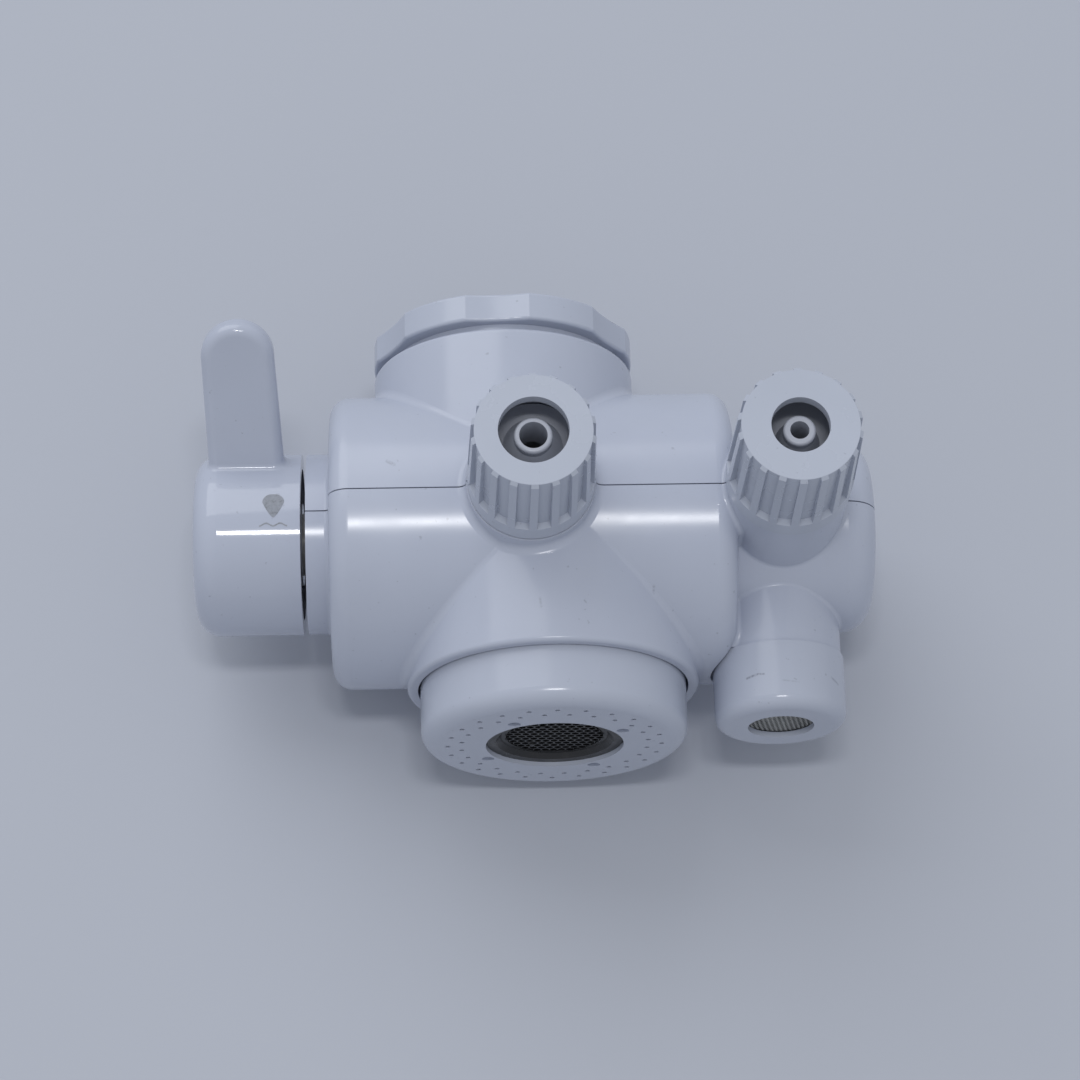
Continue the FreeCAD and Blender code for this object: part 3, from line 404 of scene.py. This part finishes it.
def add_turned(mesh, outline, across, back, sides=16):
    """An outline that starts and ends on the axis, turned about an upright axis."""
    start = mesh.verts.new((across, back, outline[0][1]))
    end = mesh.verts.new((across, back, outline[-1][1]))
    turns = [math.tau * step / sides for step in range(sides)]
    rings = []
    for radius, height in outline[1:-1]:
        spots = [(across + math.cos(turn) * radius, back + math.sin(turn) * radius, height) for turn in turns]
        rings.append([mesh.verts.new(spot) for spot in spots])
    for step in range(sides):
        after = (step + 1) % sides
        mesh.faces.new((start, rings[0][after], rings[0][step]))
        mesh.faces.new((end, rings[-1][step], rings[-1][after]))
        for first, second in zip(rings, rings[1:]):
            mesh.faces.new((first[step], first[after], second[after], second[step]))


def hexagon(across, back, reach):
    """The corners of a six-sided cell."""
    turns = [math.pi / 6 + math.pi / 3 * step for step in range(6)]
    return [(across + math.cos(turn) * reach, back + math.sin(turn) * reach) for turn in turns]


def honeycomb(mesh, radius, pitch, wall, low, high):
    """A sheet of six-sided cells about the origin, as one closed mesh."""
    corner_reach = pitch / math.sqrt(3)
    inner_reach = (pitch - wall) / math.sqrt(3)
    row_pitch = pitch * math.sqrt(3) / 2
    fineness = 1000
    shared = {}
    edge_use = {}

    def corner(across, back, height):
        """The point that neighbouring cells share."""
        key = (round(across * fineness), round(back * fineness), height)
        if key not in shared:
            shared[key] = mesh.verts.new((across, back, height))
        return shared[key]

    rows = int(radius / row_pitch) + 1
    for row in range(-rows, rows + 1):
        back = row * row_pitch
        shift = pitch / 2 if row % 2 else 0.0
        for column in range(-rows - 1, rows + 2):
            across = column * pitch + shift
            if math.hypot(across, back) > radius - corner_reach:
                continue
            outside = hexagon(across, back, corner_reach)
            inside = hexagon(across, back, inner_reach)
            outer = [[corner(*spot, height) for spot in outside] for height in (low, high)]
            inner = [[mesh.verts.new((*spot, height)) for spot in inside] for height in (low, high)]
            for step in range(6):
                after = (step + 1) % 6
                mesh.faces.new((outer[0][step], inner[0][step], inner[0][after], outer[0][after]))
                mesh.faces.new((outer[1][step], outer[1][after], inner[1][after], inner[1][step]))
                mesh.faces.new((inner[0][step], inner[1][step], inner[1][after], inner[0][after]))
                wall_face = (outer[0][step], outer[0][after], outer[1][after], outer[1][step])
                edge_use.setdefault(frozenset(wall_face[:2]), []).append(wall_face)
    for walls in edge_use.values():
        if len(walls) == 1:
            mesh.faces.new(walls[0])


def make_grille():
    """The honeycomb disc of the aerator, with its three pegs and its rim."""
    low, high = node_box("aerator_grille")
    radius = (high.x - low.x) / 2
    rim_width = 0.75
    rim_lap = 0.15
    peg_ring = 5.2
    peg_top = low.z + 0.3
    peg = [(0.0, low.z - 0.25), (0.32, low.z - 0.22), (0.42, low.z - 0.08), (0.42, peg_top), (0.0, peg_top)]
    mesh = bmesh.new()
    honeycomb(mesh, radius - rim_lap, pitch=1.3, wall=0.26, low=low.z, high=high.z)
    inner = radius - rim_width
    add_ring(mesh, [(inner, low.z), (radius, low.z), (radius, high.z), (inner, high.z)])
    for degrees in (-113, 8, 133):
        angle = math.radians(degrees)
        add_turned(mesh, peg, math.cos(angle) * peg_ring, math.sin(angle) * peg_ring)
    bmesh.ops.translate(mesh, vec=(SPRAY_ACROSS, 0, 0), verts=mesh.verts)
    finish = FINISHES["aerator_black"]
    replaced = ("aerator_grille",)
    finished("aerator_honeycomb", mesh, finish, "spray_head", replaced, smooth=False)


def on_hub(across, arc, lift):
    """A point on the lever's hub, arc millimetres below the front line."""
    angle = arc / HUB_RADIUS
    reach = HUB_RADIUS + lift
    return Vector((across, -math.cos(angle) * reach, DRUM_HEIGHT - math.sin(angle) * reach))


def add_print(mesh, top, bottom):
    """A strip of ink between two rows of (across, arc) points, wrapped on the hub."""
    lifts = (0.004, 0.022)
    under, over = [[[mesh.verts.new(on_hub(*spot, lift)) for spot in row] for row in (top, bottom)]
                   for lift in lifts]
    last = len(top) - 1
    for index in range(last):
        after = index + 1
        mesh.faces.new((over[0][index], over[0][after], over[1][after], over[1][index]))
        mesh.faces.new((under[0][index], under[1][index], under[1][after], under[0][after]))
        mesh.faces.new((under[0][index], under[0][after], over[0][after], over[0][index]))
        mesh.faces.new((under[1][index], over[1][index], over[1][after], under[1][after]))
    for index in (0, last):
        mesh.faces.new((under[0][index], over[0][index], over[1][index], under[1][index]))


def add_drop(mesh, steps):
    """A drop with a round top, drawn in to a tip."""
    middle = -36.93
    half_width = 1.72
    top_arc = -3.10
    tip_arc = 1.12
    shoulder = 0.36
    blunt = 0.02
    left, right = [], []
    for index in range(steps + 1):
        share = blunt + (1 - 2 * blunt) * index / steps
        arc = top_arc + (tip_arc - top_arc) * share
        if share < shoulder:
            width = half_width * math.sqrt(1 - (1 - share / shoulder) ** 2)
        else:
            fall = (share - shoulder) / (1 - shoulder)
            width = half_width * (1 - fall) ** 0.82 * (1 + 0.18 * fall)
        left.append((middle - width, arc))
        right.append((middle + width, arc))
    add_print(mesh, left, right)


def add_wave(mesh, steps):
    """A thin line of two waves."""
    start = -39.15
    length = 4.4
    middle_arc = 2.20
    height = 0.22
    waves = 2.0
    half_line = 0.13
    upper, lower = [], []
    for index in range(steps + 1):
        share = index / steps
        across = start + length * share
        arc = middle_arc + height * math.cos(share * math.tau * waves)
        upper.append((across, arc - half_line))
        lower.append((across, arc + half_line))
    add_print(mesh, upper, lower)


def make_print():
    """The small drop above a wave, printed on the lever's hub."""
    steps = 24
    mesh = bmesh.new()
    add_drop(mesh, steps)
    add_wave(mesh, steps)
    finished("lever_print", mesh, PRINT, "lever", smooth=False)


def make_tap_thread():
    """The thread's ridge on the wall of the tap adapter, running out at both ends."""
    radius = 10.5
    low = -7.0
    high = -0.3
    pitch = 1.0
    depth = 0.55
    sunk = 0.05
    half_root = 0.44
    half_crest = 0.08
    end_depth = 0.15
    fade_rate = 12
    steps_in_turn = 72
    turns = (high - low - pitch) / pitch
    steps = int(turns * steps_in_turn)
    mesh = bmesh.new()
    rings = []
    for step in range(steps + 1):
        share = step / steps
        fade = min(1.0, share * fade_rate, (1 - share) * fade_rate)
        angle = turns * math.tau * share
        height = low + pitch * 0.5 + turns * pitch * share
        root = radius + sunk
        crest = radius - depth * (end_depth + (1 - end_depth) * fade)
        section = ((root, -half_root), (crest, -half_crest), (crest, half_crest), (root, half_root))
        spots = [(math.cos(angle) * r, math.sin(angle) * r, height + offset * pitch) for r, offset in section]
        rings.append([mesh.verts.new(spot) for spot in spots])
    add_sweep(mesh, rings)
    finished("tap_thread_ridge", mesh, FINISHES["adapter_metal"], "housing")


# Stage, light and camera

def make_table():
    """The pale table under the part's back: seen from behind it lets light and sight through."""
    place_in_room = (0, DRUM_RADIUS * MM, DRUM_HEIGHT * MM)
    bpy.ops.mesh.primitive_plane_add(size=4.0, location=place_in_room, rotation=(math.pi / 2, 0, 0))
    table = bpy.context.object
    table.name = "table"
    material, shader, place = new_material("table_top")
    mottle = 0.015
    cloud = ranged(material, noise(material, place, TABLE_CLOUDS), MIDDLE)
    base = shades(material, cloud, tint(TABLE_COLOUR, 1 - mottle), tint(TABLE_COLOUR, 1 + mottle))
    link(material, base, shader.inputs["Base Color"])
    shader.inputs["Roughness"].default_value = 0.55
    shader.inputs["Specular IOR Level"].default_value = 0.25
    clear = node(material, "ShaderNodeBsdfTransparent")
    behind = node(material, "ShaderNodeNewGeometry").outputs["Backfacing"]
    shadow = node(material, "ShaderNodeLightPath").outputs["Is Shadow Ray"]
    through = sums(material, "MAXIMUM", behind, shadow)
    inputs = {0: through, 1: shader.outputs[0], 2: clear.outputs[0]}
    mixed = node(material, "ShaderNodeMixShader", inputs=inputs)
    link(material, mixed.outputs[0], material.node_tree.nodes["Material Output"].inputs["Surface"])
    table.data.materials.append(material)


def make_lamp(name, place, size, power, colour=LAMP_COLOUR):
    """A flat lamp that faces the part; its place and its size are in metres, its power in watts."""
    data = bpy.data.lights.new(name, "AREA")
    data.shape = "RECTANGLE"
    data.size, data.size_y = size
    data.energy = power
    data.color = colour
    lamp = bpy.data.objects.new(name, data)
    lamp.location = place
    middle_of_part = Vector((0.005, 0.0, DRUM_HEIGHT * MM))
    lamp.rotation_mode = "QUATERNION"
    lamp.rotation_quaternion = (middle_of_part - Vector(place)).to_track_quat("-Z", "Y")
    bpy.context.scene.collection.objects.link(lamp)


def make_lights():
    """Two ceiling panels end to end, a wide soft window light, and a weak light for the back."""
    far = 1.5
    drop = math.radians(-5.3)
    front = -far * math.cos(drop)
    height = DRUM_HEIGHT * MM + far * math.sin(drop)
    for name, across in (("panel_left", -0.10), ("panel_right", 0.10)):
        make_lamp(name, (across, front, height), size=(0.17, 0.12), power=2.2)
    make_lamp("window", (-0.55, -1.05, 1.00), size=(1.3, 1.3), power=9.0, colour=WINDOW_COLOUR)
    make_lamp("back_fill", (0.5, 1.5, 0.5), size=(1.6, 1.6), power=5.0)


def make_world():
    """Even room light; sight and mirror-like surfaces meet the table's own colour."""
    world = bpy.data.worlds.new("room")
    world.use_nodes = True
    bpy.context.scene.world = world
    nodes = world.node_tree.nodes
    links = world.node_tree.links
    room = nodes["Background"]
    room.inputs["Color"].default_value = (*ROOM_COLOUR, 1.0)
    room.inputs["Strength"].default_value = 0.55
    seen = nodes.new("ShaderNodeBackground")
    seen.inputs["Color"].default_value = (*TABLE_COLOUR, 1.0)
    path = nodes.new("ShaderNodeLightPath")
    either = nodes.new("ShaderNodeMath")
    either.operation = "MAXIMUM"
    mixed = nodes.new("ShaderNodeMixShader")
    links.new(path.outputs["Is Camera Ray"], either.inputs[0])
    links.new(path.outputs["Is Glossy Ray"], either.inputs[1])
    links.new(either.outputs[0], mixed.inputs[0])
    links.new(room.outputs[0], mixed.inputs[1])
    links.new(seen.outputs[0], mixed.inputs[2])
    links.new(mixed.outputs[0], nodes["World Output"].inputs["Surface"])


def make_camera():
    """The camera at its place, turned to its target and rolled about its own line of sight."""
    forward = (CAMERA_TARGET - CAMERA_PLACE).normalized()
    level = forward.cross(Vector((0, 0, 1))).normalized()
    above = level.cross(forward)
    across = level * math.cos(CAMERA_ROLL) - above * math.sin(CAMERA_ROLL)
    above = across.cross(forward)
    data = bpy.data.cameras.new("camera")
    data.lens = CAMERA_LENS
    data.sensor_width = CAMERA_SENSOR
    data.clip_start = CAMERA_NEAREST
    camera = bpy.data.objects.new("camera", data)
    turn = Matrix((across, above, -forward)).transposed().to_4x4()
    camera.matrix_world = Matrix.Translation(CAMERA_PLACE * MM) @ turn
    bpy.context.scene.collection.objects.link(camera)
    bpy.context.scene.camera = camera


dress_frame()
make_grille()
make_wire_discs()
make_print()
make_tap_thread()
make_table()
make_lights()
make_world()
make_camera()

bpy.context.scene.view_settings.view_transform = "Standard"
